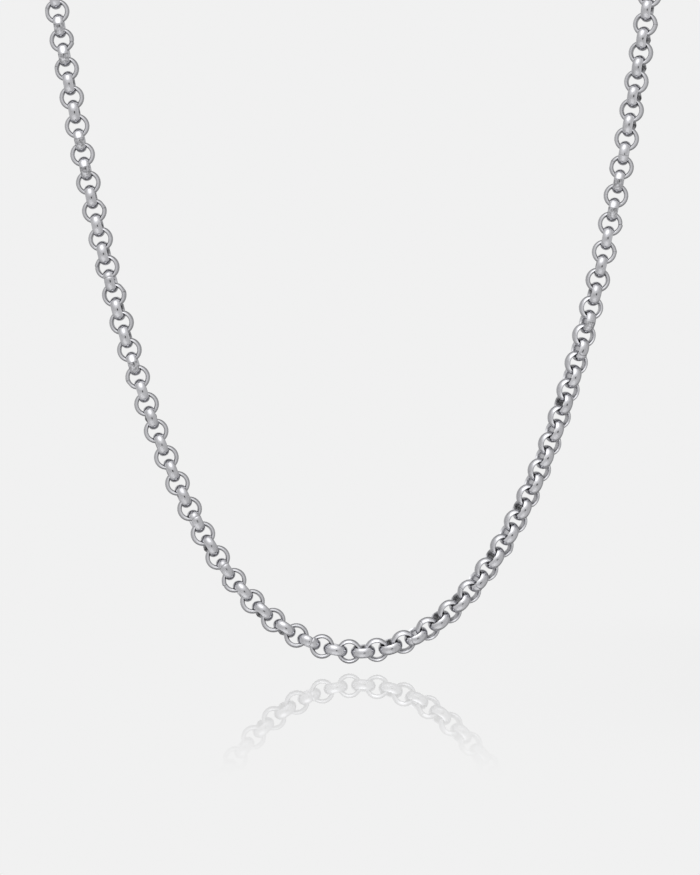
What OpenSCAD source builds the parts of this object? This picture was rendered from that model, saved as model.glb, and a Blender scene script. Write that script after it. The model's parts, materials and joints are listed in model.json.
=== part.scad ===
// Rolo necklace: round links of crowned wire, each a quarter turn from the last, in one
// closed loop that a plain clasp joins behind the neck. The front hangs free in one upright
// plane, and from its top each side runs back and round the neck to the nape.
// Millimetres. The origin is the middle of the clasp, X to the right, Z up, front to -Y.

/* [Link] */
// Outside diameter of a link
link_od = 5; // [4.5:0.1:6]
// Width of the wire, along the link's own axis
wire_w = 2; // [1.7:0.05:2.2]
// Height of the wire's crown above its edges
wire_crown = 0.5; // [0.3:0.05:0.6]
// Number of narrow flats that form the crown, with a corner at its top
crown_sides = 4; // [4:2:6]
// Depth of the bevel between the wire's crown and the hole
wire_bevel = 0.4; // [0.25:0.05:0.5]
// Width of the flat band inside the hole
hole_flat = 0.9; // [0.7:0.02:1.1]

/* [Fit] */
// How far two neighbouring links could still draw apart
link_play = 0.15; // [0.14:0.01:0.2]
// Least gap between one link and the next but one
link_gap = 0.1; // [0.05:0.01:0.2]
// Share of the play along the chain that is closed up at its lowest point
bottom_slack = 0.4; // [0:0.05:0.8]

/* [Hang] */
// Width of the front hang at its top
hang_w = 118.8; // [100:0.2:140]
// Radius of the curve at the lowest point
bottom_r = 22.95; // [20:0.05:28]
// Where the first link right of the middle lies, as a share of a pitch
first_link = 0.4; // [0.1:0.1:0.9]

/* [Neck] */
// Depth from the front hang back to the nape
neck_depth = 69; // [60:1:80]
// Height of the nape above the top of the front hang
nape_rise = 46; // [35:1:60]
// How long each side keeps its upward course past the hang
side_reach = 50; // [40:1:60]
// How long each side keeps its level course at the nape
nape_reach = 46; // [38:1:55]

/* [Clasp] */
// Thickness of the clasp
clasp_t = 1.7; // [1.4:0.1:1.9]
// How much thinner each domed face leaves the clasp at its widest
clasp_dome = 0.3; // [0.1:0.05:0.4]
// Radius of the hook's bore
hook_r = 1.8; // [1.6:0.05:2.1]
// Radius of the eye's bore
eye_r = 1.4; // [1.3:0.05:1.7]
// Wall round both bores
clasp_wall = 0.9; // [0.7:0.05:1]
// Solid length between the two bores
clasp_bar = 5; // [3:0.5:8]
// Width of the clasp's waist
waist_w = 3; // [2:0.1:3.4]

/* [Hidden] */

// Smoothness of the round forms, and of the clasp's wide domes
fine = 48;
dome_fine = 200;
// Room for a cut to pass right through
cut = 1;
steel = [0.76, 0.77, 0.79];

// How the hanging links are turned about the chain's course, which play leaves them free
// to do. Columns: way, as a share of one side of the hang from its lowest point, and turn,
// in degrees, positive where the rear of a link leans to the inside of the loop.
TURN_LEFT = [
    [0.00, 8], [0.03, 2], [0.06, -6], [0.11, -11], [0.16, -10], [0.19, -5], [0.22, -5],
    [0.26, -11], [0.30, -9], [0.34, -5], [0.44, -4], [0.49, 0], [0.54, 4], [0.58, 8], [0.66, 8],
    [0.71, 2], [0.85, 1], [0.91, 5], [0.96, 2], [1.15, 0]
];
TURN_RIGHT = [
    [0.00, 8], [0.03, 15], [0.06, 21], [0.12, 26], [0.50, 26], [0.55, 21], [0.60, 9], [0.64, 0],
    [0.68, -3], [0.79, -4], [0.85, -14], [0.95, -14], [1.20, 0]
];

// Wire section, measured from the link's axis
link_r = link_od / 2;
wire_t = wire_crown + wire_bevel;
hole_r = link_r - wire_t;
crown_r = (pow(wire_w / 2, 2) + pow(wire_crown, 2)) / (2 * wire_crown);
crown_half = asin(wire_w / 2 / crown_r);
function crown_point(a) = [link_r + crown_r * (cos(a) - 1), crown_r * sin(a)];

// Greatest distance between the centres of two interlocked rings: what reaches furthest
// into the hole of each ring meets the edge of the other one's wire there
function reach(r, half_w) = sqrt(pow(r, 2) - pow(half_w, 2));
flat_meets_flat = 2 * reach(hole_r, hole_flat / 2);
edge_meets_edge = 2 * reach(hole_r + wire_bevel, wire_w / 2);
flat_meets_edge = reach(hole_r + wire_bevel, hole_flat / 2) + reach(hole_r, wire_w / 2);
tight_pitch = min(flat_meets_flat, edge_meets_edge, flat_meets_edge) - link_play;
least_pitch = (link_od + link_gap) / 2;
slack = bottom_slack * (tight_pitch - least_pitch);

// Clasp, laid out from the two end links that it holds
eye_to_link = reach(eye_r, hole_flat / 2) + reach(hole_r, clasp_t / 2) - link_play;
hook_to_link = reach(hook_r, hole_flat / 2) + reach(hole_r, clasp_t / 2) - link_play;
end_x = (eye_to_link + eye_r + clasp_bar + hook_r + hook_to_link) / 2;
hook_x = end_x - hook_to_link;
eye_x = eye_to_link - end_x;
hook_rim = hook_r + clasp_wall;
eye_rim = eye_r + clasp_wall;
dome_r = (pow(hook_rim, 2) + pow(clasp_dome, 2)) / (2 * clasp_dome);

function sinh(x) = (exp(x) - exp(-x)) / 2;
function cosh(x) = (exp(x) + exp(-x)) / 2;
function asinh(x) = ln(x + sqrt(x * x + 1));
function unit(v) = v / norm(v);

// The right side of the front hang is a free-hanging curve, by its length from the bottom
hang_len = bottom_r * sinh(hang_w / 2 / bottom_r);
hang_drop = bottom_r * (cosh(hang_w / 2 / bottom_r) - 1);
bottom_z = -nape_rise - hang_drop;
function hang_point(s) = [
    bottom_r * asinh(s / bottom_r),
    -neck_depth,
    bottom_z + sqrt(pow(bottom_r, 2) + pow(s, 2)) - bottom_r
];
function hang_course(s) = unit([bottom_r, 0, s]);

// Past the hang the side takes one smooth sweep to the end link, through four guide points
top = hang_point(hang_len);
guide = [top, top + side_reach * hang_course(hang_len), [end_x + nape_reach, 0, 0], [end_x, 0, 0]];
function sweep_point(t) =
    pow(1 - t, 3) * guide[0] + 3 * pow(1 - t, 2) * t * guide[1]
    + 3 * (1 - t) * pow(t, 2) * guide[2] + pow(t, 3) * guide[3];
function sweep_course(t) = unit(
    pow(1 - t, 2) * (guide[1] - guide[0]) + 2 * (1 - t) * t * (guide[2] - guide[1])
    + pow(t, 2) * (guide[3] - guide[2])
);

// Length along the sweep against its parameter, for placing links an even way apart
sweep_steps = 60;
sweep_table = [
    for (i = 0, len = 0; i <= sweep_steps;
        i = i + 1, len = len + norm(sweep_point(i / sweep_steps) - sweep_point((i - 1) / sweep_steps)))
        [len, i / sweep_steps]
];
neck_len = sweep_table[sweep_steps][0];

// Place, course and rear direction at a length s along the right side
function sweep_t(s) = lookup(s - hang_len, sweep_table);
function route_point(s) = s <= hang_len ? hang_point(s) : sweep_point(sweep_t(s));
function route_course(s) = s <= hang_len ? hang_course(s) : sweep_course(sweep_t(s));
function eased(t) = t * t * (3 - 2 * t);
function route_rear(s) = let (
    lean = 90 * eased(max(0, s - hang_len) / neck_len),
    wish = [0, cos(lean), -sin(lean)],
    course = route_course(s)
) unit(wish - (wish * course) * course);

// The links draw apart towards the top of the hang, where the chain carries more weight
hang_count = hang_len / (tight_pitch - slack / 2);
function hang_place(j) = tight_pitch * j - slack * (j - j * j / (2 * hang_count));

// Index of a side's last link, which lies flat so that it can pass through the clasp
function next_match(i, odd) = i % 2 == odd ? i : i + 1;
function last_link(lead, odd) =
    next_match(ceil(hang_count + neck_len / tight_pitch - lead), odd);
function link_place(k, lead, last) = let (j = k + lead)
    j <= hang_count ? hang_place(j)
    : hang_len + (j - hang_count) * neck_len / (last + lead - hang_count);
left_last = last_link(1 - first_link, 0);
right_last = last_link(first_link, 1);

// One link lies in the XY plane round the origin
module link() {
    rotate_extrude($fn = fine) polygon([
        [hole_r, -hole_flat / 2],
        for (i = [0:crown_sides]) crown_point(crown_half * (2 * i / crown_sides - 1)),
        [hole_r, hole_flat / 2]
    ]);
}

// A link at length s of one side (1 right, -1 left), facing front or turned edge on
module placed_link(s, side, facing, turn) {
    mirrored = [side, 1, 1];
    course = route_course(s);
    rear = route_rear(s);
    inner = cross(course, rear);
    across = facing ? rear * cos(turn) + inner * sin(turn) : inner * cos(turn) - rear * sin(turn);
    x = [for (i = [0:2]) course[i] * mirrored[i]];
    z = [for (i = [0:2]) across[i] * mirrored[i]];
    y = cross(z, x);
    p = [for (i = [0:2]) route_point(s)[i] * mirrored[i]];
    multmatrix([for (i = [0:2]) [x[i], y[i], z[i], p[i]]]) link();
}

module chain_left() {
    color(steel) for (k = [0:left_last]) {
        s = link_place(k, 1 - first_link, left_last);
        placed_link(s, -1, k % 2 == 0, lookup(s / hang_len, TURN_LEFT));
    }
}

module chain_right() {
    color(steel) for (k = [0:right_last]) {
        s = link_place(k, first_link, right_last);
        placed_link(s, 1, k % 2 == 1, lookup(s / hang_len, TURN_RIGHT));
    }
}

// The clasp stands upright across the nape: a hook and an eye joined by a waist
module clasp_round(x, r, h) {
    translate([x, 0, 0]) rotate([90, 0, 0]) cylinder(r = r, h = h, center = true, $fn = fine);
}

module clasp_dome_side(face) {
    translate([0, face * (dome_r - clasp_t / 2), 0]) rotate([0, 90, 0])
        cylinder(r = dome_r, h = 2 * end_x, center = true, $fn = dome_fine);
}

module clasp() {
    color(steel) difference() {
        intersection() {
            union() {
                clasp_round(hook_x, hook_rim, clasp_t);
                clasp_round(eye_x, eye_rim, clasp_t);
                translate([(hook_x + eye_x) / 2, 0, 0])
                    cube([hook_x - eye_x, clasp_t, waist_w], center = true);
            }
            clasp_dome_side(-1);
            clasp_dome_side(1);
        }
        clasp_round(hook_x, hook_r, clasp_t + cut);
        clasp_round(eye_x, eye_r, clasp_t + cut);
    }
}

chain_left();
chain_right();
clasp();
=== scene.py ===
"""Rolo necklace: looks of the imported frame, with its links, clasp, studio and camera.

Sizes are written in millimetres times MM, so every value in use is in metres. The frame is
that of the CAD model: X to the right, Z up, front to -Y, origin in the middle of the clasp.
"""

import json
import logging
import math
from dataclasses import dataclass
from enum import Enum

import bmesh
import bpy
from mathutils import Matrix, Vector

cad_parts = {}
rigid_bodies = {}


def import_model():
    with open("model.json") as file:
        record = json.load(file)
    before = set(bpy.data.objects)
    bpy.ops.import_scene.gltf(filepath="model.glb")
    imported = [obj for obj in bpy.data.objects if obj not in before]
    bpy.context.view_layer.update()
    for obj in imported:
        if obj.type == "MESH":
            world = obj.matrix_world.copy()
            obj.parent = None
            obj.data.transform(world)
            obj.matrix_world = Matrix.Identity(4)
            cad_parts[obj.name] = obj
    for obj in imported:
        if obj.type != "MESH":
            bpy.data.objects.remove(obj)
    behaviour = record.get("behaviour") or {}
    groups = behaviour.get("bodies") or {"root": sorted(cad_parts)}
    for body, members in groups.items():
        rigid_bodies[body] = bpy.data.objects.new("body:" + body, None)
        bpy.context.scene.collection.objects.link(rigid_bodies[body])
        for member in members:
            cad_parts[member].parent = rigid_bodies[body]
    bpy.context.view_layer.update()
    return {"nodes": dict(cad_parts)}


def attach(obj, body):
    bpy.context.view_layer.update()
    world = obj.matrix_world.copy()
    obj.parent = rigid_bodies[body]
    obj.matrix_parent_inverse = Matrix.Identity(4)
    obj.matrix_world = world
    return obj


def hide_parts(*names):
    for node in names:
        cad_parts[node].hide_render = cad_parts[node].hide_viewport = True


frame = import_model()

MM = 0.001
log = logging.getLogger("rolo_necklace")

Socket = bpy.types.NodeSocket
Value = Socket | float | int | tuple[float, ...] | str | None
Inputs = dict[str | int, Value]
Pair = tuple[float, float]
Levels = tuple[Pair, ...]
DEGREES = 180 / math.pi
WHOLE_TURN = 2 * math.pi


class NodeBench:
    """Adds nodes to one tree and joins them, for shaders and Geometry Nodes alike."""

    def __init__(self, tree: bpy.types.NodeTree) -> None:
        """Keeps the tree and clears it.

        Args:
            tree: The node tree to build in.
        """
        self.tree = tree
        tree.nodes.clear()

    def add(self, kind: str, inputs: Inputs | None = None, **settings: object) -> bpy.types.Node:
        """Adds one node.

        Args:
            kind: The node's type name.
            inputs: Values or sockets by input name or number.
            settings: Properties of the node itself.

        Returns:
            The new node.
        """
        node = self.tree.nodes.new(kind)
        for name, value in settings.items():
            setattr(node, name, value)
        for key, value in (inputs or {}).items():
            if isinstance(value, bpy.types.NodeSocket):
                self.tree.links.new(value, node.inputs[key])
            elif value is not None:
                node.inputs[key].default_value = value
        return node

    def math(self, operation: str, *values: Value) -> Socket:
        """Adds a Math node.

        Args:
            operation: The node's operation.
            values: Its inputs in order.

        Returns:
            The result's socket.
        """
        return self.add("ShaderNodeMath", dict(enumerate(values)), operation=operation).outputs[0]

    def times(self, first: Value, second: Value) -> Socket:
        """Multiplies two numbers."""
        return self.math("MULTIPLY", first, second)

    def plus(self, first: Value, second: Value) -> Socket:
        """Adds two numbers."""
        return self.math("ADD", first, second)

    def swing(self, noise: Value, span: Value) -> Socket:
        """Turns a noise from 0 to 1 into a change from minus the span to the span."""
        return self.times(self.math("SUBTRACT", noise, 0.5), self.times(span, 2.0))

    def remap(self, value: Value, start: float, end: float, low: float = 0.0, high: float = 1.0) -> Socket:
        """Turns a range of a value smoothly into another range.

        Args:
            value: What to read.
            start: Where the change begins.
            end: Where the change ends.
            low: The result before start.
            high: The result past end.

        Returns:
            The result's socket.
        """
        spans = {0: value, 1: start, 2: end, 3: low, 4: high}
        return self.add("ShaderNodeMapRange", spans, interpolation_type="SMOOTHSTEP").outputs[0]

    def blend(self, share: Value, first: Value, second: Value) -> Socket:
        """Mixes two numbers.

        Args:
            share: 0 gives the first and 1 the second.
            first: A number or socket.
            second: A number or socket.

        Returns:
            The mixed number's socket.
        """
        return self.add("ShaderNodeMix", {0: share, 2: first, 3: second}).outputs[0]

    def scaled(self, level: Value, share: Value, factor: Value) -> Socket:
        """Multiplies a level by a factor as far as a share from 0 to 1 applies."""
        return self.times(level, self.blend(share, 1.0, factor))

    def noise(self, vector: Value, scale: Value, detail: float, roughness: float = 0.5) -> Socket:
        """Adds a noise texture.

        Args:
            vector: Where to read it.
            scale: Its fineness.
            detail: Number of finer layers.
            roughness: Share of the finer layers.

        Returns:
            The noise as a number round 0.5.
        """
        sizes = {"Vector": vector, "Scale": scale, "Detail": detail, "Roughness": roughness}
        return self.add("ShaderNodeTexNoise", sizes).outputs["Fac"]


def new_group(
    name: str, kind: str, inputs: dict[str, tuple[str, float | None]], outputs: dict[str, str]
) -> bpy.types.NodeTree:
    """Makes an empty node group with named sockets.

    Args:
        name: The group's name.
        kind: Its tree type.
        inputs: Socket type, such as Float, and first value by name.
        outputs: Socket type by name.

    Returns:
        The group.
    """
    group = bpy.data.node_groups.new(name, kind)
    for label, (socket_type, value) in inputs.items():
        socket = group.interface.new_socket(label, in_out="INPUT", socket_type="NodeSocket" + socket_type)
        if value is not None:
            socket.default_value = value
    for label, socket_type in outputs.items():
        group.interface.new_socket(label, in_out="OUTPUT", socket_type="NodeSocket" + socket_type)
    return group


def new_object(name: str, data: bpy.types.ID) -> bpy.types.Object:
    """Makes an object and puts it into the scene.

    Args:
        name: The object's name.
        data: Its mesh or camera.

    Returns:
        The object.
    """
    made = bpy.data.objects.new(name, data)
    bpy.context.scene.collection.objects.link(made)
    return made


def evaluated_mesh(piece: bpy.types.Object) -> bpy.types.Mesh:
    """Plain mesh of an object as its modifiers leave it."""
    depsgraph = bpy.context.evaluated_depsgraph_get()
    return bpy.data.meshes.new_from_object(piece.evaluated_get(depsgraph), depsgraph=depsgraph)


def report(piece: bpy.types.Object, node: str) -> None:
    """Logs a finished piece and the node that it replaces."""
    sizes = (len(piece.data.vertices), len(piece.data.polygons))
    log.info("%s: %d corners, %d faces, replaces %s", piece.name, *sizes, node)


def make_drawn_wire_group() -> bpy.types.NodeTree:
    """Makes the group for lines that drawing and tumbling leave along a wire.

    Returns:
        A shader group whose inputs are the way round and across the wire, the count of
        lines and of breaks, and a shift for each link.
    """
    line_noise = (1.0, 2.0, 0.6)
    scratch_noise = (0.45, 1.0)
    scratch_half = 0.012
    group = new_group(
        "drawn_wire_lines",
        "ShaderNodeTree",
        {
            "Wire UV": ("Vector", None),
            "Breaks": ("Float", 3.0),
            "Lines": ("Float", 30.0),
            "Shift": ("Float", 0.0),
        },
        {"Lines": "Float", "Scratches": "Float"},
    )
    bench = NodeBench(group)
    given = bench.add("NodeGroupInput").outputs
    way = bench.add("ShaderNodeSeparateXYZ", {0: given["Wire UV"]}).outputs
    turn = bench.times(way[0], WHOLE_TURN)
    radius = bench.times(given["Breaks"], 1 / WHOLE_TURN)
    place = bench.add(
        "ShaderNodeCombineXYZ",
        {
            0: bench.plus(bench.times(bench.math("COSINE", turn), radius), given["Shift"]),
            1: bench.times(bench.math("SINE", turn), radius),
            2: bench.times(way[1], given["Lines"]),
        },
    ).outputs[0]
    lines = bench.noise(place, *line_noise)
    scratch = bench.math("ABSOLUTE", bench.math("SUBTRACT", bench.noise(place, *scratch_noise), 0.5))
    scratches = bench.remap(scratch, 0.0, scratch_half, 1.0, 0.0)
    bench.add("NodeGroupOutput", {"Lines": lines, "Scratches": scratches})
    return group


def make_tumbled_group() -> bpy.types.NodeTree:
    """Makes the group for the soft dents and clouding of tumbled, handled steel.

    Returns:
        A shader group whose inputs are a place, the size of the dents and of the clouds,
        and how deep the clouding is.
    """
    dent_noise, cloud_noise = (1.5, 0.45), (3.0, 0.6)
    pits_per_dent, pit_edge, pitted_clouds = 3.0, (0.05, 0.16), (0.52, 0.62)
    group = new_group(
        "tumbled_surface",
        "ShaderNodeTree",
        {
            "Place": ("Vector", None),
            "Dents per metre": ("Float", 900.0),
            "Clouds per metre": ("Float", 260.0),
            "Clouding": ("Float", 0.05),
        },
        {"Dents": "Float", "Pits": "Float", "Clouding": "Float"},
    )
    bench = NodeBench(group)
    given = bench.add("NodeGroupInput").outputs
    dents = bench.noise(given["Place"], given["Dents per metre"], *dent_noise)
    clouds = bench.noise(given["Place"], given["Clouds per metre"], *cloud_noise)
    pit_sizes = {"Vector": given["Place"], "Scale": bench.times(given["Dents per metre"], pits_per_dent)}
    cells = bench.add("ShaderNodeTexVoronoi", pit_sizes).outputs["Distance"]
    pits = bench.times(bench.remap(cells, *pit_edge, 1.0, 0.0), bench.remap(clouds, *pitted_clouds))
    clouding = bench.swing(clouds, given["Clouding"])
    bench.add("NodeGroupOutput", {"Dents": dents, "Pits": pits, "Clouding": clouding})
    return group


@dataclass(frozen=True)
class SteelFinish:
    """A polished steel finish, with how far it varies over a piece."""

    name: str
    shade: tuple[float, float, float] = (0.604, 0.604, 0.628)
    tone_spread: float = 0.05
    roughness: float = 0.13
    clouding: float = 0.06
    dent_depth: float = 0.010 * MM
    grain_scale: float = 2100.0
    grain_layers: Pair = (2.0, 0.6)
    grain_depth: float = 0.010 * MM
    grain_shade: float = 0.16
    line_shift: float = 40.0
    line_roughness: float = 0.07
    line_depth: float = 0.0012 * MM
    scratch_roughness: float = 0.06
    scratch_depth: float = 0.0015 * MM
    pit_shade: float = 0.55
    pit_depth: float = 0.003 * MM
    # Painted light and shade of the links: the bore is painted lighter on its sides and painted darker at its
    # ends, where neighbouring links cross it; the rim's corner gets a painted highlight; the dark speckles by
    # the seam are dirt, and painted shade where the seam lies at a link's hidden rear.
    bore_side_light: float = 1.06
    crossing_shade: float = 0.28
    bore_roughness: float = 0.12
    rim_highlight: float = 1.20
    seam_dirt_and_shade_span: Pair = (0.38, 0.62)
    seam_dirt_and_shade_levels: Pair = (0.144, 0.432)
    seam_dirt_roughness: float = 0.25
    seam_shade: float = 0.30
    seam_roughness: float = 0.25
    worn_span: Pair = (0.36, 0.64)
    worn_shades: Pair = (0.57, 1.07)
    worn_roughness: float = 0.07
    worn_depth: float = 0.022 * MM
    has_wire_uv: bool = True
    plain_lines: float = 9000.0
    plain_breaks: float = 2.0

    def make(self, drawn_wire: bpy.types.NodeTree, tumbled: bpy.types.NodeTree) -> bpy.types.Material:
        """Builds the material.

        Args:
            drawn_wire: The group for lines along the wire.
            tumbled: The group for dents and clouding.

        Returns:
            The finished material.
        """
        material = bpy.data.materials.new(self.name)
        material.use_nodes = True
        bench = NodeBench(material.node_tree)
        place = bench.add("ShaderNodeTexCoord").outputs["Object"]
        given: Inputs = {"Place": place, "Clouding": self.clouding}
        surface = bench.add("ShaderNodeGroup", given, node_tree=tumbled).outputs
        tone = self.attribute(bench, "tone") if self.has_wire_uv else 0.5
        way = bench.add("ShaderNodeUVMap", uv_map="wire").outputs[0] if self.has_wire_uv else place
        given = {"Wire UV": way, "Shift": bench.times(tone, self.line_shift)}
        if not self.has_wire_uv:
            given |= {"Lines": self.plain_lines, "Breaks": self.plain_breaks}
        wire = bench.add("ShaderNodeGroup", given, node_tree=drawn_wire).outputs
        lines, scratches, pits = wire["Lines"], wire["Scratches"], surface["Pits"]
        grain = bench.noise(place, self.grain_scale, *self.grain_layers)

        level = bench.plus(surface["Clouding"], 1.0)
        level = bench.plus(level, bench.swing(tone, self.tone_spread))
        level = bench.times(level, bench.remap(pits, 0.0, 1.0, 1.0, self.pit_shade))
        level = bench.plus(level, bench.swing(grain, self.grain_shade))
        rough = bench.plus(bench.times(lines, self.line_roughness), self.roughness - self.line_roughness / 2)
        rough = bench.plus(rough, bench.times(scratches, self.scratch_roughness))
        depth: Value = self.grain_depth
        if self.has_wire_uv:
            marks = ("bore", "burn", "seam", "worn", "edge")
            bore, burn, seam, worn, edge = (self.attribute(bench, mark) for mark in marks)
            # Painted light and shade in the bore: lighter on its sides, and painted shade at its ends where
            # neighbouring links cross it.
            turn = bench.times(bench.add("ShaderNodeSeparateXYZ", {0: way}).outputs[0], WHOLE_TURN)
            along = bench.math("COSINE", bench.plus(turn, self.attribute(bench, "spin")))
            bore_light_and_shade = bench.blend(bench.times(along, along), self.bore_side_light, self.crossing_shade)
            speckle = bench.remap(grain, *self.seam_dirt_and_shade_span, *self.seam_dirt_and_shade_levels)
            patches = bench.remap(grain, *self.worn_span, *self.worn_shades)
            # The edge gets a painted highlight, and the dark speckles by the seam are dirt and painted shade;
            # the worn patches and the seam line are the steel's own marks.
            for share, factor in (
                (bore, bore_light_and_shade),
                (edge, self.rim_highlight),
                (burn, speckle),
                (worn, patches),
                (seam, self.seam_shade),
            ):
                level = bench.scaled(level, share, factor)
            for share, gain in (
                (bore, self.bore_roughness),
                (seam, self.seam_roughness),
                (worn, self.worn_roughness),
                (burn, self.seam_dirt_roughness),
            ):
                rough = bench.plus(rough, bench.times(share, gain))
            depth = bench.plus(bench.times(worn, self.worn_depth), self.grain_depth)
        shades = {i: bench.times(level, shade) for i, shade in enumerate(self.shade)}
        colour = bench.add("ShaderNodeCombineColor", shades).outputs[0]
        height = bench.times(surface["Dents"], self.dent_depth)
        for relief, rise in (
            (lines, self.line_depth),
            (grain, depth),
            (scratches, -self.scratch_depth),
            (pits, -self.pit_depth),
        ):
            height = bench.plus(height, bench.times(relief, rise))
        bump = bench.add("ShaderNodeBump", {"Strength": 1.0, "Distance": 1.0, "Height": height}).outputs[0]
        looks = {"Base Color": colour, "Metallic": 1.0, "Roughness": rough, "Normal": bump}
        shader = bench.add("ShaderNodeBsdfPrincipled", looks)
        bench.add("ShaderNodeOutputMaterial", {"Surface": shader.outputs[0]})
        return material

    @staticmethod
    def attribute(bench: NodeBench, name: str) -> Socket:
        """Reads a number that a piece carries.

        Args:
            bench: The material's bench.
            name: The attribute's name.

        Returns:
            The number's socket.
        """
        return bench.add("ShaderNodeAttribute", attribute_name=name).outputs["Fac"]


CHAIN_STEEL = SteelFinish("chain_steel_polished")
CLASP_STEEL = SteelFinish("clasp_steel_polished", tone_spread=0.0, dent_depth=0.006 * MM, has_wire_uv=False)


class SeamKind(Enum):
    """How the two ends of a link's wire met when it was closed.

    A fine seam is a hairline, a proud one stands out, and a stepped one is out of line. A
    planed one was filed flat on one side and left rough on the other, a nicked one was
    filed flat and keeps its hairline, and a welded one is a swelling, darkened all round
    by dirt and painted shade.
    """

    FINE = 0
    PROUD = 1
    STEPPED = 2
    PLANED = 3
    PLANED_BACK = 4
    NICKED = 5
    WELDED = 6


@dataclass(frozen=True)
class RouteSizes:
    """The source's sizes that place the links."""

    link_od: float = 5.0 * MM
    wire_w: float = 2.0 * MM
    hole_r: float = 1.6 * MM
    wire_bevel: float = 0.4 * MM
    hole_flat: float = 0.9 * MM
    link_play: float = 0.15 * MM
    link_gap: float = 0.1 * MM
    bottom_slack: float = 0.4
    hang_w: float = 118.8 * MM
    bottom_r: float = 22.95 * MM
    first_link: float = 0.4
    neck_depth: float = 69.0 * MM
    nape_rise: float = 46.0 * MM
    side_reach: float = 50.0 * MM
    nape_reach: float = 46.0 * MM
    clasp_t: float = 1.7 * MM
    hook_r: float = 1.8 * MM
    eye_r: float = 1.4 * MM
    clasp_bar: float = 5.0 * MM


@dataclass(frozen=True)
class WireSection:
    """Section of the wire, as radius from the link's axis and height along it."""

    link_r: float = RouteSizes.link_od / 2
    half_w: float = RouteSizes.wire_w / 2
    crown_r: float = 1.25 * MM
    hole_r: float = RouteSizes.hole_r
    flat_half: float = 0.40 * MM
    round_inner: Pair = (1.673 * MM, 0.70 * MM)
    round_middle: Pair = (1.81 * MM, 0.92 * MM)
    round_top: Pair = (1.965 * MM, 1.0 * MM)
    crown_angles: tuple[float, ...] = (47.0, 34.0, 20.0, 6.5)
    rim_share: float = 0.75
    tolerance: float = 0.001 * MM

    def points(self) -> list[Pair]:
        """Finds the corners of the section.

        Returns:
            Radius and height of each, from one end of the bore round the crown to the other.
        """
        upper = [(self.hole_r, self.flat_half), self.round_inner, self.round_middle, self.round_top]
        middle = self.link_r - self.crown_r
        for angle in self.crown_angles:
            a = math.radians(angle)
            upper.append((middle + self.crown_r * math.cos(a), self.crown_r * math.sin(a)))
        return upper + [(r, -h) for r, h in reversed(upper)]

    def bore_share(self, radius: float) -> float:
        """How far a corner belongs to the bore, which tumbling hardly reaches and which carries painted light
        and shade.

        Args:
            radius: The corner's distance from the link's axis.

        Returns:
            1 in the bore, less on its rounded rim and 0 outside.
        """
        if radius <= self.round_inner[0]:
            return 1.0
        return self.rim_share if radius <= self.round_middle[0] else 0.0

    def rim_highlight_share(self, radius: float) -> float:
        """1 on the corner between the bore's rim and the crown, which carries a painted highlight."""
        first_crown = self.link_r - self.crown_r * (1 - math.cos(math.radians(self.crown_angles[0])))
        return 1.0 if self.round_middle[0] < radius <= first_crown + self.tolerance else 0.0


def bell(angle: float, half: float) -> float:
    """A smooth hump, 1 at angle 0 and 1/e at the half angle."""
    return math.exp(-((angle / half) ** 2))


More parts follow.
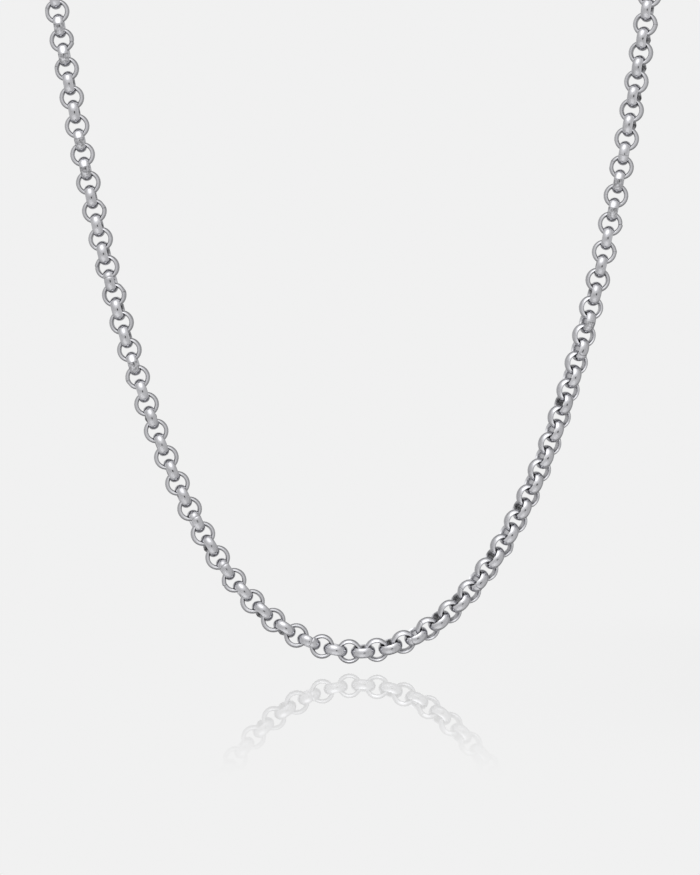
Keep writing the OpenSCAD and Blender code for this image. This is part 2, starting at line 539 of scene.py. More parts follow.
@dataclass
class LinkForm:
    """Makes one link round the origin, its axis along Z and its seam at angle 0.

    Lengths are in metres. Angles are in degrees from the seam.
    """

    kind: SeamKind
    section: WireSection = WireSection()
    plain_rings: int = 25
    seam_angles: tuple[float, ...] = (-13.0, -5.0, -1.4, 0.0, 1.4, 5.0, 13.0)
    groove: float = 0.045 * MM
    deep_groove: float = 0.08 * MM
    groove_half: float = 4.9
    groove_fade: float = 0.3 * MM
    step: float = 0.10 * MM
    step_out: float = 0.6
    bulge: float = 0.06 * MM
    bulge_half: float = 16.0
    proud_half: float = 7.0
    proud_groove: float = 0.6
    inner_bulge: float = 0.4
    rise: float = 0.03 * MM
    rise_half: float = 14.0
    weld_spread: float = 0.22
    weld_half: float = 17.0
    flat_start: float = 3.0
    flat_half: float = 19.0
    worn_span: Pair = (38.0, 62.0)
    # Dark speckles by the seam: dirt, and painted shade where the seam lies at a link's hidden rear.
    seam_dirt_and_shade_half: float = 34.0
    front_seam_dirt_and_shade: float = 0.15
    rim_seam_dirt_and_shade: float = 0.5
    sharp_angle: float = 48.0

    def ring_angles(self) -> list[float]:
        """Finds the angles of the rings of corners.

        Returns:
            The angles, from just before the seam once round the link.
        """
        edge = self.seam_angles[-1]
        span = 360.0 - 2 * edge
        plain = [edge + span * i / (self.plain_rings + 1) for i in range(1, self.plain_rings + 1)]
        return list(self.seam_angles) + plain

    def shift(self, angle: float) -> tuple[float, float, float]:
        """How the wire departs from a perfect ring near the seam.

        Args:
            angle: Angle from the seam, from -180 to 180.

        Returns:
            Outward shift, shift along the axis and how much the crown sinks in.
        """
        near = bell(angle, self.bulge_half)
        sink = self.groove if angle == 0.0 else 0.0
        if self.kind is SeamKind.PROUD:
            return self.bulge * bell(angle, self.proud_half), 0.0, sink * self.proud_groove
        if self.kind is SeamKind.WELDED:
            swell = self.section.half_w * self.weld_spread * bell(angle, self.weld_half)
            return self.bulge * near, 0.0, -swell
        if self.kind in (SeamKind.PLANED, SeamKind.PLANED_BACK):
            return self.rise * bell(angle, self.rise_half) * self.worn(angle), 0.0, 0.0
        if self.kind is SeamKind.STEPPED:
            sink = self.deep_groove * max(0.0, 1 - abs(angle) / self.groove_half)
            along = math.copysign(self.step, angle) * near if angle else 0.0
            return along * self.step_out, along, sink
        return 0.0, 0.0, sink

    def plane(self, angle: float) -> float:
        """Radius to which the crown was planed down beside the seam.

        Args:
            angle: Angle from the seam, from -180 to 180.

        Returns:
            The greatest radius left there.
        """
        way = angle if self.kind is SeamKind.PLANED_BACK else -angle
        off = abs(way - self.flat_start - self.flat_half)
        planed = (SeamKind.PLANED, SeamKind.PLANED_BACK, SeamKind.NICKED)
        if self.kind not in planed or off >= self.flat_half:
            return math.inf
        chord = self.section.link_r * math.cos(math.radians(self.flat_half))
        return chord / math.cos(math.radians(off))

    def worn(self, angle: float) -> float:
        """How far the crown beside a planed seam is left rough.

        Args:
            angle: Angle from the seam, from -180 to 180.

        Returns:
            0 where it is polished and 1 where it is fully rough.
        """
        way = angle if self.kind is SeamKind.PLANED else -angle
        if self.kind not in (SeamKind.PLANED, SeamKind.PLANED_BACK) or way < 0:
            return 0.0
        full, end = self.worn_span
        return min(1.0, max(0.0, (end - way) / (end - full)))

    def place(self, angle: float, r: float, h: float) -> tuple[float, float, float]:
        """Where a corner of the section comes to lie.

        Args:
            angle: Angle from the seam, from -180 to 180.
            r: The corner's radius on a perfect link.
            h: Its height along the link's axis.

        Returns:
            The corner's place.
        """
        out, along, sink = self.shift(angle)
        in_bore = r <= self.section.hole_r
        drop = max(0.0, sink) * min(1.0, (r - self.section.hole_r) / self.groove_fade)
        radius = min(r, self.plane(angle)) + out * (self.inner_bulge if in_bore else 1.0) - drop
        a = math.radians(angle)
        height = h * (1 - sink / self.section.half_w) + along
        return radius * math.cos(a), radius * math.sin(a), height

    def marks(self, angle: float, r: float) -> dict[str, float]:
        """What the material reads at a corner, each from 0 to 1.

        Args:
            angle: Angle from the seam, from -180 to 180.
            r: The corner's radius on a perfect link.

        Returns:
            Shares of seam, bore, worn patch, seam dirt and painted shade, and edge with its painted
            highlight, by name.
        """
        # The bore's share carries painted light and shade, and the edge's share a painted highlight.
        bore, edge = self.section.bore_share(r), self.section.rim_highlight_share(r)
        # Dark speckles by the seam on the bore and rim: dirt, and painted shade where the seam lies at a
        # link's hidden rear; a welded seam is darkened all round.
        burn = max(0.0, 1 - (angle / self.seam_dirt_and_shade_half) ** 2)
        if self.kind is not SeamKind.WELDED:
            burn *= max(bore, edge * self.rim_seam_dirt_and_shade)
            burn *= 1.0 if self.kind is SeamKind.FINE else self.front_seam_dirt_and_shade
        worn = self.worn(angle) if r > self.section.hole_r else 0.0
        seam = 1.0 if angle == 0 else 0.0
        return {"seam": seam, "bore": bore, "worn": worn, "burn": burn, "edge": edge}

    def make(self) -> bpy.types.Object:
        """Builds the link's mesh.

        Returns:
            The link, in no collection yet.
        """
        corners, angles = self.section.points(), self.ring_angles()
        count = len(corners)
        signed = [angle if angle <= 180 else angle - 360 for angle in angles]
        verts = [self.place(angle, r, h) for angle in signed for r, h in corners]
        marks = [self.marks(angle, r) for angle in signed for r, _ in corners]
        faces, ways = [], []
        turns = [angle % 360 / 360 for angle in angles]
        for i, start in enumerate(turns):
            j = (i + 1) % len(turns)
            end = turns[j] if turns[j] > start else turns[j] + 1.0
            for k in range(count):
                m = (k + 1) % count
                faces.append((i * count + k, j * count + k, j * count + m, i * count + m))
                low, high = k / count, (k + 1) / count
                ways += [(start, low), (end, low), (end, high), (start, high)]
        mesh = bpy.data.meshes.new(f"link_{self.kind.value}_{self.kind.name.lower()}")
        mesh.from_pydata(verts, [], faces)
        uv = mesh.uv_layers.new(name="wire")
        for loop, way in zip(uv.data, ways):
            loop.uv = way
        for name in marks[0]:
            values = [mark[name] for mark in marks]
            mesh.attributes.new(name, "FLOAT", "POINT").data.foreach_set("value", values)
        mesh.polygons.foreach_set("use_smooth", [True] * len(mesh.polygons))
        mesh.set_sharp_from_angle(angle=math.radians(self.sharp_angle))
        crest_start = angles.index(0.0) * count
        crest = range(crest_start, crest_start + count)
        for edge in mesh.edges:
            if self.kind is not SeamKind.FINE and all(v in crest for v in edge.vertices):
                edge.use_edge_sharp = True
        mesh.validate()
        return bpy.data.objects.new(mesh.name, mesh)


def reach(radius: float, half_width: float) -> float:
    """How far a ring's wall lies from its middle where a wire of that half width meets it."""
    return math.sqrt(radius**2 - half_width**2)


def lookup(x: float, table: list[Pair]) -> float:
    """Reads a table of pairs with straight lines between them.

    Args:
        x: Where to read.
        table: Pairs in rising order.

    Returns:
        The value there, held at both ends.
    """
    if x <= table[0][0]:
        return table[0][1]
    for (x0, y0), (x1, y1) in zip(table, table[1:]):
        if x <= x1:
            return y0 + (y1 - y0) * (x - x0) / (x1 - x0)
    return table[-1][1]


class Route:
    """The right side of the necklace's course: a free-hanging curve, then one smooth sweep."""

    SWEEP_STEPS = 60

    def __init__(self, sizes: RouteSizes) -> None:
        """Works the course out.

        Args:
            sizes: The source's sizes.
        """
        self.sizes = sizes
        edge_r = sizes.hole_r + sizes.wire_bevel
        self.tight_pitch = (
            min(
                2 * reach(sizes.hole_r, sizes.hole_flat / 2),
                2 * reach(edge_r, sizes.wire_w / 2),
                reach(edge_r, sizes.hole_flat / 2) + reach(sizes.hole_r, sizes.wire_w / 2),
            )
            - sizes.link_play
        )
        self.slack = sizes.bottom_slack * (self.tight_pitch - (sizes.link_od + sizes.link_gap) / 2)
        through = reach(sizes.hole_r, sizes.clasp_t / 2) - sizes.link_play
        eye_to_link = reach(sizes.eye_r, sizes.hole_flat / 2) + through
        hook_to_link = reach(sizes.hook_r, sizes.hole_flat / 2) + through
        self.end_x = (eye_to_link + sizes.eye_r + sizes.clasp_bar + sizes.hook_r + hook_to_link) / 2
        span = sizes.hang_w / 2 / sizes.bottom_r
        self.hang_len = sizes.bottom_r * math.sinh(span)
        self.bottom_z = -sizes.nape_rise - sizes.bottom_r * (math.cosh(span) - 1)
        top = self.hang_point(self.hang_len)
        self.guide = [
            top,
            top + sizes.side_reach * self.hang_course(self.hang_len),
            Vector((self.end_x + sizes.nape_reach, 0, 0)),
            Vector((self.end_x, 0, 0)),
        ]
        self.sweep_table = [(0.0, 0.0)]
        for i in range(1, self.SWEEP_STEPS + 1):
            t = i / self.SWEEP_STEPS
            step = (self.sweep_point(t) - self.sweep_point(t - 1 / self.SWEEP_STEPS)).length
            self.sweep_table.append((self.sweep_table[-1][0] + step, t))
        self.neck_len = self.sweep_table[-1][0]
        self.hang_count = self.hang_len / (self.tight_pitch - self.slack / 2)

    def hang_point(self, s: float) -> Vector:
        """Point of the front hang at a length from its lowest point."""
        a = self.sizes.bottom_r
        return Vector((a * math.asinh(s / a), -self.sizes.neck_depth, self.bottom_z + math.hypot(a, s) - a))

    def hang_course(self, s: float) -> Vector:
        """Direction of the front hang at a length from its lowest point."""
        return Vector((self.sizes.bottom_r, 0, s)).normalized()

    def sweep_point(self, t: float) -> Vector:
        """Point of the sweep to the nape, at a parameter from 0 to 1."""
        g = self.guide
        return (1 - t) ** 3 * g[0] + 3 * (1 - t) ** 2 * t * g[1] + 3 * (1 - t) * t**2 * g[2] + t**3 * g[3]

    def sweep_course(self, t: float) -> Vector:
        """Direction of the sweep to the nape.

        Args:
            t: The sweep's parameter, from 0 to 1.

        Returns:
            A unit vector along the course.
        """
        g = self.guide
        way = (1 - t) ** 2 * (g[1] - g[0]) + 2 * (1 - t) * t * (g[2] - g[1]) + t**2 * (g[3] - g[2])
        return way.normalized()

    def point(self, s: float) -> Vector:
        """Point of the course at a length from the lowest point."""
        return self.hang_point(s) if s <= self.hang_len else self.sweep_point(self.sweep_t(s))

    def course(self, s: float) -> Vector:
        """Direction of the course at a length from the lowest point."""
        return self.hang_course(s) if s <= self.hang_len else self.sweep_course(self.sweep_t(s))

    def sweep_t(self, s: float) -> float:
        """The sweep's parameter at a length from the lowest point."""
        return lookup(s - self.hang_len, self.sweep_table)

    def rear(self, s: float) -> Vector:
        """Direction away from the viewer, and down the nape at the back.

        Args:
            s: Length from the lowest point.

        Returns:
            A unit vector square to the course.
        """
        part = max(0.0, s - self.hang_len) / self.neck_len
        lean = math.radians(90) * part * part * (3 - 2 * part)
        wish, course = Vector((0, math.cos(lean), -math.sin(lean))), self.course(s)
        return (wish - wish.dot(course) * course).normalized()

    def last_link(self, lead: float, odd: int) -> int:
        """Index of a side's last link, which lies flat for the clasp.

        Args:
            lead: Where link 0 lies, as a share of a pitch.
            odd: 1 if the index must be odd.

        Returns:
            The index.
        """
        i = math.ceil(self.hang_count + self.neck_len / self.tight_pitch - lead)
        return i if i % 2 == odd else i + 1

    def link_place(self, k: int, lead: float, last: int) -> float:
        """Length along the course where a link lies.

        Args:
            k: The link's index.
            lead: Where link 0 lies, as a share of a pitch.
            last: The side's last index.

        Returns:
            The length from the lowest point.
        """
        j = k + lead
        if j <= self.hang_count:
            return self.tight_pitch * j - self.slack * (j - j * j / (2 * self.hang_count))
        return self.hang_len + (j - self.hang_count) * self.neck_len / (last + lead - self.hang_count)


@dataclass
class ChainHalf:
    """One half of the chain, from the lowest point up one side and round to the nape.

    The side is 1 on the right and -1 on the left, and link 0 lies a lead, in pitches, from
    the lowest point. Links whose index is odd, where facing is 1, or even, where it is 0,
    face the front, and the last link is one of them. The seams of the hanging links are
    tables of angles by link for each kind. Past the hang a kind comes at every so many
    links, from a first one.
    """

    name: str
    node: str
    side: int
    lead: float
    facing: int
    turns: list[Pair]
    seams: dict[SeamKind, dict[int, float]]
    seed: int
    tone_seed: int = 5
    loose_tilt: float = 0.4
    front_links: int = 53
    hidden_sway: Pair = (30.0, 60.0)
    scatter_angles: Pair = (137.508, 61.0)
    neck_seams: tuple[tuple[SeamKind, int, int], ...] = ((SeamKind.STEPPED, 7, 3), (SeamKind.PROUD, 11, 5))

    def layout(self, route: Route) -> bpy.types.Object:
        """Places one point for each link, with how the link stands there.

        Args:
            route: The necklace's course.

        Returns:
            An object of loose points that carry the links' directions and forms.
        """
        last = route.last_link(self.lead, self.facing)
        mirrored = Vector((self.side, 1, 1))
        places, courses, acrosses, forms, spins = [], [], [], [], []
        for k in range(last + 1):
            s = route.link_place(k, self.lead, last)
            course, rear = route.course(s), route.rear(s)
            inner = course.cross(rear)
            turn = math.radians(lookup(s / route.hang_len, self.turns))
            if k % 2 == self.facing:
                across = rear * math.cos(turn) + inner * math.sin(turn)
            else:
                across = inner * math.cos(turn) - rear * math.sin(turn)
            kind, spin = self.seam(k, course * mirrored, across * mirrored)
            places.append(route.point(s) * mirrored)
            courses += list(course * mirrored)
            acrosses += list(across * mirrored)
            forms.append(kind.value)
            spins.append(math.radians(spin))
        mesh = bpy.data.meshes.new(self.name + "_layout")
        mesh.from_pydata(places, [], [])
        for name, values in (("course", courses), ("across", acrosses)):
            mesh.attributes.new(name, "FLOAT_VECTOR", "POINT").data.foreach_set("vector", values)
        mesh.attributes.new("form", "INT", "POINT").data.foreach_set("value", forms)
        mesh.attributes.new("spin", "FLOAT", "POINT").data.foreach_set("value", spins)
        return bpy.data.objects.new(self.name, mesh)

    @staticmethod
    def spin_towards(angle: float, faces_front: bool, course: Vector, across: Vector) -> float:
        """Spin that brings a link's seam to where the picture shows it.

        Args:
            angle: Degrees: for a link that faces the front, clockwise from its top; for one
                seen edge on, from its foremost point up the course.
            faces_front: Whether the link faces the front.
            course: The chain's course there.
            across: The link's axis.

        Returns:
            The spin about the link's axis, in degrees.
        """
        a = math.radians(angle)
        if faces_front:
            way = Vector((math.sin(a), 0, math.cos(a)))
        else:
            way = Vector((0, -1, 0)) * math.cos(a) + course * math.sin(a)
        return math.degrees(math.atan2(way.dot(across.cross(course)), way.dot(course)))

    def seam(self, k: int, course: Vector, across: Vector) -> tuple[SeamKind, float]:
        """How a link's seam closed and where it lies.

        Args:
            k: The link's index.
            course: The chain's course there.
            across: The link's axis.

        Returns:
            The seam's kind and the spin about the link's axis, in degrees.
        """
        faces_front = k % 2 == self.facing
        by_link, by_seed = self.scatter_angles
        scatter = (k * by_link + self.seed * by_seed) % 360.0
        for kind, angles in self.seams.items():
            if k in angles:
                return kind, self.spin_towards(angles[k], faces_front, course, across)
        if k > self.front_links:
            kinds = [kind for kind, every, first in self.neck_seams if k % every == first]
            return (kinds[0] if kinds else SeamKind.FINE), scatter
        sway = scatter / 360.0 - 0.5
        if faces_front:
            return SeamKind.FINE, 180.0 * (k // 2 % 2) + self.hidden_sway[0] * sway
        return SeamKind.FINE, self.spin_towards(180.0 + self.hidden_sway[1] * sway, False, course, across)

    def make(
        self, route: Route, tree: bpy.types.NodeTree, forms: bpy.types.Collection, steel: bpy.types.Material
    ) -> bpy.types.Object:
        """Builds the half as one mesh and ties it to the frame.

        Args:
            route: The necklace's course.
            tree: The Geometry Nodes tree that sets the links.
            forms: The link forms to choose from.
            steel: The links' material.

        Returns:
            The finished piece.
        """
        points = self.layout(route)
        bpy.context.scene.collection.objects.link(points)
        modifier = points.modifiers.new("set_links", "NODES")
        modifier.node_group = tree
        given = {
            "Link Forms": forms,
            "Link Material": steel,
            "Link Diameter": route.sizes.link_od,
            "Loose Tilt": math.radians(self.loose_tilt),
            "Seed": self.seed,
            "Tone Seed": self.tone_seed,
        }
        for item in tree.interface.items_tree:
            if item.item_type == "SOCKET" and item.in_out == "INPUT" and item.name in given:
                modifier[item.identifier] = given[item.name]
        mesh = evaluated_mesh(points)
        points.modifiers.remove(modifier)
        bpy.data.objects.remove(points)
        mesh.name = self.name
        for name in ("across", "course", "form"):
            if name in mesh.attributes:
                mesh.attributes.remove(mesh.attributes[name])
        piece = new_object(self.name, mesh)
        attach(piece, "root")
        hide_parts(self.node)
        report(piece, self.node)
        return piece


def make_link_setter(reference: float) -> bpy.types.NodeTree:
    """Makes the Geometry Nodes tree that sets links on a side's points.

    Args:
        reference: Outside diameter that the link forms are drawn at.

    Returns:
        The tree.
    """
    tree = new_group(
        "set_links",
        "GeometryNodeTree",
        {
            "Geometry": ("Geometry", None),
            "Link Forms": ("Collection", None),
            "Link Material": ("Material", None),
            "Link Diameter": ("Float", reference),
            "Loose Tilt": ("Float", 0.0),
            "Seed": ("Int", 1),
            "Tone Seed": ("Int", 1),
        },
        {"Geometry": "Geometry"},
    )
    bench = NodeBench(tree)
    given = bench.add("NodeGroupInput").outputs

    def carried(name: str, kind: str) -> Socket:
        """Reads what a point carries."""
        return bench.add("GeometryNodeInputNamedAttribute", {0: name}, data_type=kind).outputs[0]

    axes = {0: carried("across", "FLOAT_VECTOR"), 1: carried("course", "FLOAT_VECTOR")}
    stand = bench.add("FunctionNodeAxesToRotation", axes, primary_axis="Z", secondary_axis="X")
    forms = bench.add("GeometryNodeCollectionInfo", {0: given["Link Forms"], 1: True, 2: True})
    set_links = bench.add(
        "GeometryNodeInstanceOnPoints",
        {
            "Points": given["Geometry"],
            "Instance": forms.outputs[0],
            "Pick Instance": True,
            "Instance Index": carried("form", "INT"),
            "Rotation": stand.outputs[0],
            "Scale": bench.math("DIVIDE", given["Link Diameter"], reference),
        },
    )
    spin = bench.add("ShaderNodeCombineXYZ", {2: carried("spin", "FLOAT")})
    back = bench.times(given["Loose Tilt"], -1.0)
    tilts = {0: back, 1: given["Loose Tilt"], "Seed": given["Seed"]}
    tilt = bench.add("FunctionNodeRandomValue", tilts, data_type="FLOAT_VECTOR")
    turned = set_links.outputs[0]
    for rotation in (spin, tilt):
        turns = {"Instances": turned, "Rotation": rotation.outputs[0]}
        turned = bench.add("GeometryNodeRotateInstances", turns).outputs[0]
    tone = bench.add("FunctionNodeRandomValue", {"Seed": given["Tone Seed"]}, data_type="FLOAT").outputs[1]
    stored = {"Geometry": turned, "Name": "tone", "Value": tone}
    toned = bench.add("GeometryNodeStoreNamedAttribute", stored, domain="INSTANCE")
    real = bench.add("GeometryNodeRealizeInstances", {0: toned.outputs[0]})
    steel = {"Geometry": real.outputs[0], "Material": given["Link Material"]}
    bench.add("NodeGroupOutput", {0: bench.add("GeometryNodeSetMaterial", steel).outputs[0]})
    return tree


@dataclass
class Clasp:
    """The plain clasp behind the neck, the source's form with its edges rounded."""

    edge_round: float = 0.14 * MM
    edge_steps: int = 3
    edge_angle: float = 35.0
    merge: float = 0.0005 * MM
    flat_angle: float = 0.6

    def make(self, steel: bpy.types.Material) -> bpy.types.Object:
        """Builds the clasp from a merged copy of its solid.

        Args:
            steel: The clasp's material.

        Returns:
            The finished piece.
        """
        source = frame["nodes"]["clasp"]
        mesh = bpy.data.meshes.new("clasp_rounded")
        work = bmesh.new()
        work.from_mesh(source.data)
        bmesh.ops.remove_doubles(work, verts=work.verts, dist=self.merge)
        flat = math.radians(self.flat_angle)
        bmesh.ops.dissolve_limit(work, angle_limit=flat, verts=work.verts, edges=work.edges)
        work.to_mesh(mesh)
        work.free()
        mesh.validate()
        mesh.materials.clear()
        mesh.materials.append(steel)
        mesh.normals_split_custom_set([(0.0, 0.0, 0.0)] * len(mesh.loops))
        mesh.polygons.foreach_set("use_smooth", [True] * len(mesh.polygons))
        piece = new_object("clasp_rounded", mesh)
        bevel = piece.modifiers.new("rounded_edges", "BEVEL")
        bevel.width, bevel.segments = self.edge_round, self.edge_steps
        bevel.limit_method, bevel.angle_limit = "ANGLE", math.radians(self.edge_angle)
        bevel.harden_normals = True
        rounded = evaluated_mesh(piece)
        piece.modifiers.remove(bevel)
        piece.data = rounded
        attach(piece, "root")
        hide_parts("clasp")
        report(piece, "clasp")
        return piece


@dataclass(frozen=True)
class SoftLight:
    """A round soft light of the studio, by its direction and its levels outward, in degrees."""

    azimuth: float = -14.0
    elevation: float = 56.0
    levels: Levels = (
        (0.0, 1.75), (23.0, 1.75), (26.5, 1.16), (36.0, 1.0), (47.0, 0.84), (60.0, 0.70),
    )
    fade: Pair = (66.0, 52.0)

    def direction(self) -> tuple[float, float, float]:
        """Unit vector from the necklace towards the light's middle."""
        az, el = math.radians(self.azimuth), math.radians(self.elevation)
        return (math.sin(az) * math.cos(el), -math.cos(az) * math.cos(el), math.sin(el))


@dataclass
class Studio:
    """World, floor and camera of the picture.

    Angles are in degrees. Pairs of angles are where a change begins and where it ends. The
    dot is the dark spot that the camera leaves in the reflections.
    """

    backdrop: float = 0.879
    ring_levels: Levels = (
        (0.0, 0.68), (62.0, 0.69), (88.0, 0.66), (114.0, 0.55), (140.0, 0.54), (158.0, 0.70), (174.0, 0.879),
    )
    below_levels: Levels = ((0.0, 0.78), (90.0, 0.68), (140.0, 0.30))
    below_from: Pair = (-36.0, -58.0)
    rear_from: Pair = (105.0, 150.0)
    rear_panels: tuple[tuple[float, float, float], ...] = ((26.0, 48.0, 0.24), (-10.0, -22.0, 0.28))
    right_from: Pair = (92.0, 124.0)
    right_until: Pair = (180.0, 166.0)
    right_level: float = 0.76
    camera_dot: SoftLight = SoftLight(azimuth=12.0, elevation=-6.0, levels=((0.0, 0.06),), fade=(12.5, 9.5))
    key_light: SoftLight = SoftLight()
    floor_drop: float = 3.38 * MM
    floor_half: float = 1.2
    floor_share: float = 0.29
    floor_fade: Pair = (105 * MM, 300 * MM)
    floor_roughness: float = 0.004
    camera_gap: float = 900 * MM
    camera_x: float = -1.166 * MM
    camera_above_bottom: float = 42.83 * MM
    camera_lean: float = 0.0078
    camera_clip: Pair = (10 * MM, 10.0)
    picture_height: float = 175 * MM
    sensor: float = 24.0

    def light(self) -> bpy.types.World:
        """Builds the studio's light: an even backdrop, and panels that the steel reflects.

        Returns:
            The world.
        """
        world = bpy.data.worlds.new("studio")
        world.use_nodes = True
        bench = NodeBench(world.node_tree)
        way = bench.add("ShaderNodeTexCoord").outputs["Generated"]
        x, y, z = bench.add("ShaderNodeSeparateXYZ", {0: way}).outputs
        azimuth = bench.times(bench.math("ARCTAN2", x, bench.times(y, -1.0)), DEGREES)
        turn = bench.math("ABSOLUTE", azimuth)
        elevation = bench.times(bench.math("ARCSINE", z), DEGREES)
        level = self.steps(bench, turn, self.ring_levels)
        right = bench.times(bench.remap(azimuth, *self.right_from), bench.remap(azimuth, *self.right_until))
        level = bench.scaled(level, right, self.right_level)
        rear = bench.remap(turn, *self.rear_from)
        for start, end, value in self.rear_panels:
            level = bench.blend(bench.times(rear, bench.remap(elevation, start, end)), level, value)
        below = self.steps(bench, turn, self.below_levels)
        level = bench.blend(bench.remap(elevation, *self.below_from), level, below)
        for lamp in (self.key_light, self.camera_dot):
            off = self.angle_from(bench, way, lamp.direction())
            glow = self.steps(bench, off, lamp.levels)
            level = bench.blend(bench.remap(off, *lamp.fade), level, glow)
        is_camera = bench.add("ShaderNodeLightPath").outputs["Is Camera Ray"]
        shown = bench.blend(is_camera, level, self.backdrop)
        colour = bench.add("ShaderNodeCombineColor", dict.fromkeys(range(3), shown)).outputs[0]
        background = bench.add("ShaderNodeBackground", {"Color": colour, "Strength": 1.0})
        bench.add("ShaderNodeOutputWorld", {"Surface": background.outputs[0]})
        bpy.context.scene.world = world
        return world

    @staticmethod
    def steps(bench: NodeBench, angle: Socket, levels: Levels) -> Value:
        """Level of the studio along an angle, eased from each entry of a table to the next.

        Args:
            bench: The world's bench.
            angle: The angle in degrees.
            levels: Angles and levels in rising order.

        Returns:
            The level's socket, or the level itself where the table has one entry.
        """
        level: Value = levels[0][1]
        for (start, _), (end, value) in zip(levels, levels[1:]):
            level = bench.blend(bench.remap(angle, start, end), level, value)
        return level

    @staticmethod
    def angle_from(bench: NodeBench, way: Socket, target: tuple[float, float, float]) -> Socket:
        """Angle between the direction looked at and a fixed one.

        Args:
            bench: The world's bench.
            way: The direction looked at.
            target: The fixed direction, a unit vector.

        Returns:
            The angle's socket, in degrees.
        """
        dot = bench.add("ShaderNodeVectorMath", {0: way, 1: target}, operation="DOT_PRODUCT").outputs["Value"]
        return bench.times(bench.math("ARCCOSINE", dot), DEGREES)

    def floor(self, route: Route) -> bpy.types.Object:
        """Builds the pale glossy floor that mirrors the lowest links faintly.

        Args:
            route: The necklace's course, which gives its lowest point.

        Returns:
            The floor.
        """
        z = route.bottom_z - self.floor_drop
        half = self.floor_half
        corners = [(x * half, y * half, z) for x, y in ((-1, -1), (1, -1), (1, 1), (-1, 1))]
        mesh = bpy.data.meshes.new("floor")
        mesh.from_pydata(corners, [], [(0, 1, 2, 3)])
        material = bpy.data.materials.new("floor_gloss")
        material.use_nodes = True
        bench = NodeBench(material.node_tree)
        place = bench.add("ShaderNodeTexCoord").outputs["Object"]
        ends = {0: place, 1: (0.0, -route.sizes.neck_depth, z)}
        away = bench.add("ShaderNodeVectorMath", ends, operation="DISTANCE").outputs["Value"]
        share = bench.remap(away, *self.floor_fade, self.floor_share, 0.0)
        clear = bench.add("ShaderNodeBsdfTransparent")
        gloss = bench.add("ShaderNodeBsdfGlossy", {"Color": (1, 1, 1, 1), "Roughness": self.floor_roughness})
        mixed = bench.add("ShaderNodeMixShader", {0: share, 1: clear.outputs[0], 2: gloss.outputs[0]})
        bench.add("ShaderNodeOutputMaterial", {"Surface": mixed.outputs[0]})
        mesh.materials.append(material)
        floor = new_object("floor", mesh)
        return floor

    def camera(self, route: Route) -> bpy.types.Object:
        """Sets the camera where the photograph was taken from.

        Args:
            route: The necklace's course, which gives its lowest point.

        Returns:
            The camera.
        """
        data = bpy.data.cameras.new("camera")
        data.sensor_fit, data.sensor_width = "AUTO", self.sensor
        data.lens = self.sensor * self.camera_gap / self.picture_height
        data.clip_start, data.clip_end = self.camera_clip
        camera = new_object("camera", data)
        eye_y = -route.sizes.neck_depth - self.camera_gap
        eye = Vector((self.camera_x, eye_y, route.bottom_z + self.camera_above_bottom))
        c, s = math.cos(self.camera_lean), math.sin(self.camera_lean)
        turned = Matrix(((c, s, 0), (0, 0, -1), (-s, c, 0)))
        camera.matrix_world = Matrix.Translation(eye) @ turned.to_4x4()
        bpy.context.scene.camera = camera
        return camera


# How the hanging links are turned about the chain's course: way from the lowest point, as a
# share of one side of the hang, and degrees. The source holds the same tables.
TURNS_LEFT = [
    (0.00, 8), (0.03, 2), (0.06, -6), (0.11, -11), (0.16, -10), (0.19, -5), (0.22, -5),
    (0.26, -11), (0.30, -9), (0.34, -5), (0.44, -4), (0.49, 0), (0.54, 4), (0.58, 8), (0.66, 8),
    (0.71, 2), (0.85, 1), (0.91, 5), (0.96, 2), (1.15, 0),
]
TURNS_RIGHT = [
    (0.00, 8), (0.03, 15), (0.06, 21), (0.12, 26), (0.50, 26), (0.55, 21), (0.60, 9), (0.64, 0),
    (0.68, -3), (0.79, -4), (0.85, -14), (0.95, -14), (1.20, 0),
]
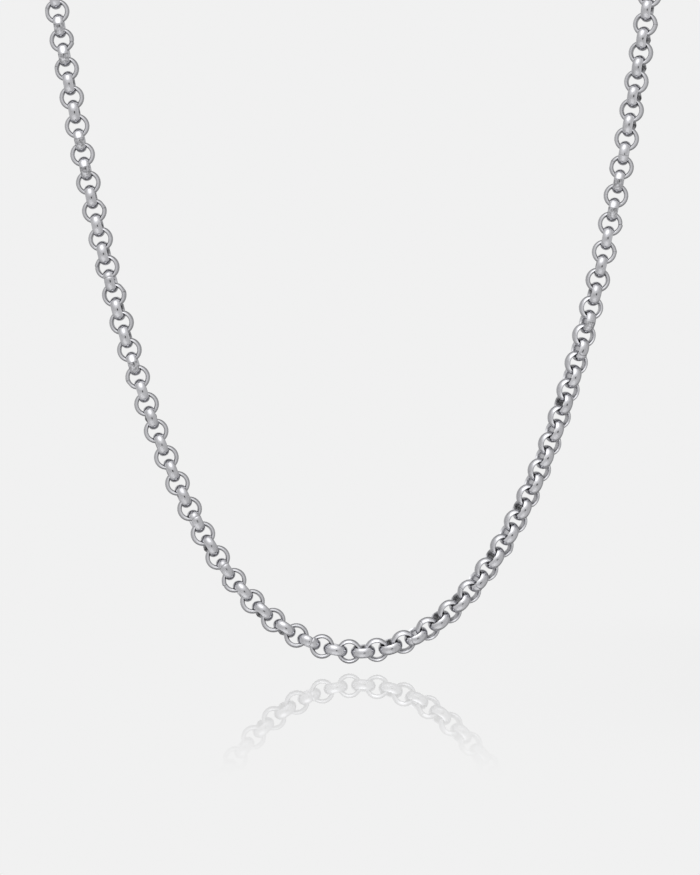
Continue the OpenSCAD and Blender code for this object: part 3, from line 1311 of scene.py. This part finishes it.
# The seams that the picture shows, and those that it shows to be hidden: link and angle, as
# spin_towards reads it. Link 0 is the one next to the lowest point.
SEAMS_LEFT: dict[SeamKind, dict[int, float]] = {
    SeamKind.FINE: {35: 170},
    SeamKind.STEPPED: {50: 100, 34: 270, 33: 20, 15: 20, 11: 22, 10: 242, 3: -12},
    SeamKind.PLANED: {51: 7, 49: 1, 43: 8, 41: 7, 27: 6},
    SeamKind.NICKED: {52: 288, 48: 282, 38: 74, 32: 74, 26: 250},
    SeamKind.WELDED: {23: 178, 13: 185, 7: 180, 5: 180},
}
SEAMS_RIGHT: dict[SeamKind, dict[int, float]] = {
    SeamKind.FINE: {
        2: 180, 6: 178, 8: 184, 12: 176, 14: 94, 16: 182, 18: 264, 20: 92, 22: 262, 24: 178, 26: 96, 32: 160,
    },
    SeamKind.PROUD: {13: 122, 35: 90, 42: -14, 51: 95},
    SeamKind.STEPPED: {4: -28, 10: -26, 28: -26, 37: 95},
    SeamKind.PLANED_BACK: {30: 0, 38: 6, 40: 7},
    SeamKind.NICKED: {5: 318, 9: 298, 41: 305},
    SeamKind.WELDED: {44: 178, 46: 184, 48: 176, 50: 182},
}


def main() -> None:
    """Builds the necklace's pieces and the studio, in order."""
    logging.basicConfig(level=logging.INFO, format="%(name)s %(message)s")
    bpy.context.scene.view_settings.view_transform = "Standard"
    sizes = RouteSizes()
    route = Route(sizes)
    studio = Studio()
    studio.camera(route)
    studio.light()
    studio.floor(route)
    drawn_wire, tumbled = make_drawn_wire_group(), make_tumbled_group()
    chain_steel = CHAIN_STEEL.make(drawn_wire, tumbled)
    clasp_steel = CLASP_STEEL.make(drawn_wire, tumbled)

    forms = bpy.data.collections.new("link_forms")
    for kind in SeamKind:
        forms.objects.link(LinkForm(kind).make())
    tree = make_link_setter(sizes.link_od)
    halves = (
        ChainHalf("links_left", "chain_left", -1, 1 - sizes.first_link, 0, TURNS_LEFT, SEAMS_LEFT, 3),
        ChainHalf("links_right", "chain_right", 1, sizes.first_link, 1, TURNS_RIGHT, SEAMS_RIGHT, 8),
    )
    for half in halves:
        half.make(route, tree, forms, chain_steel)
    bpy.data.node_groups.remove(tree)
    for link in list(forms.objects):
        bpy.data.objects.remove(link)
    bpy.data.collections.remove(forms)
    Clasp().make(clasp_steel)


if __name__ == "__main__":
    main()
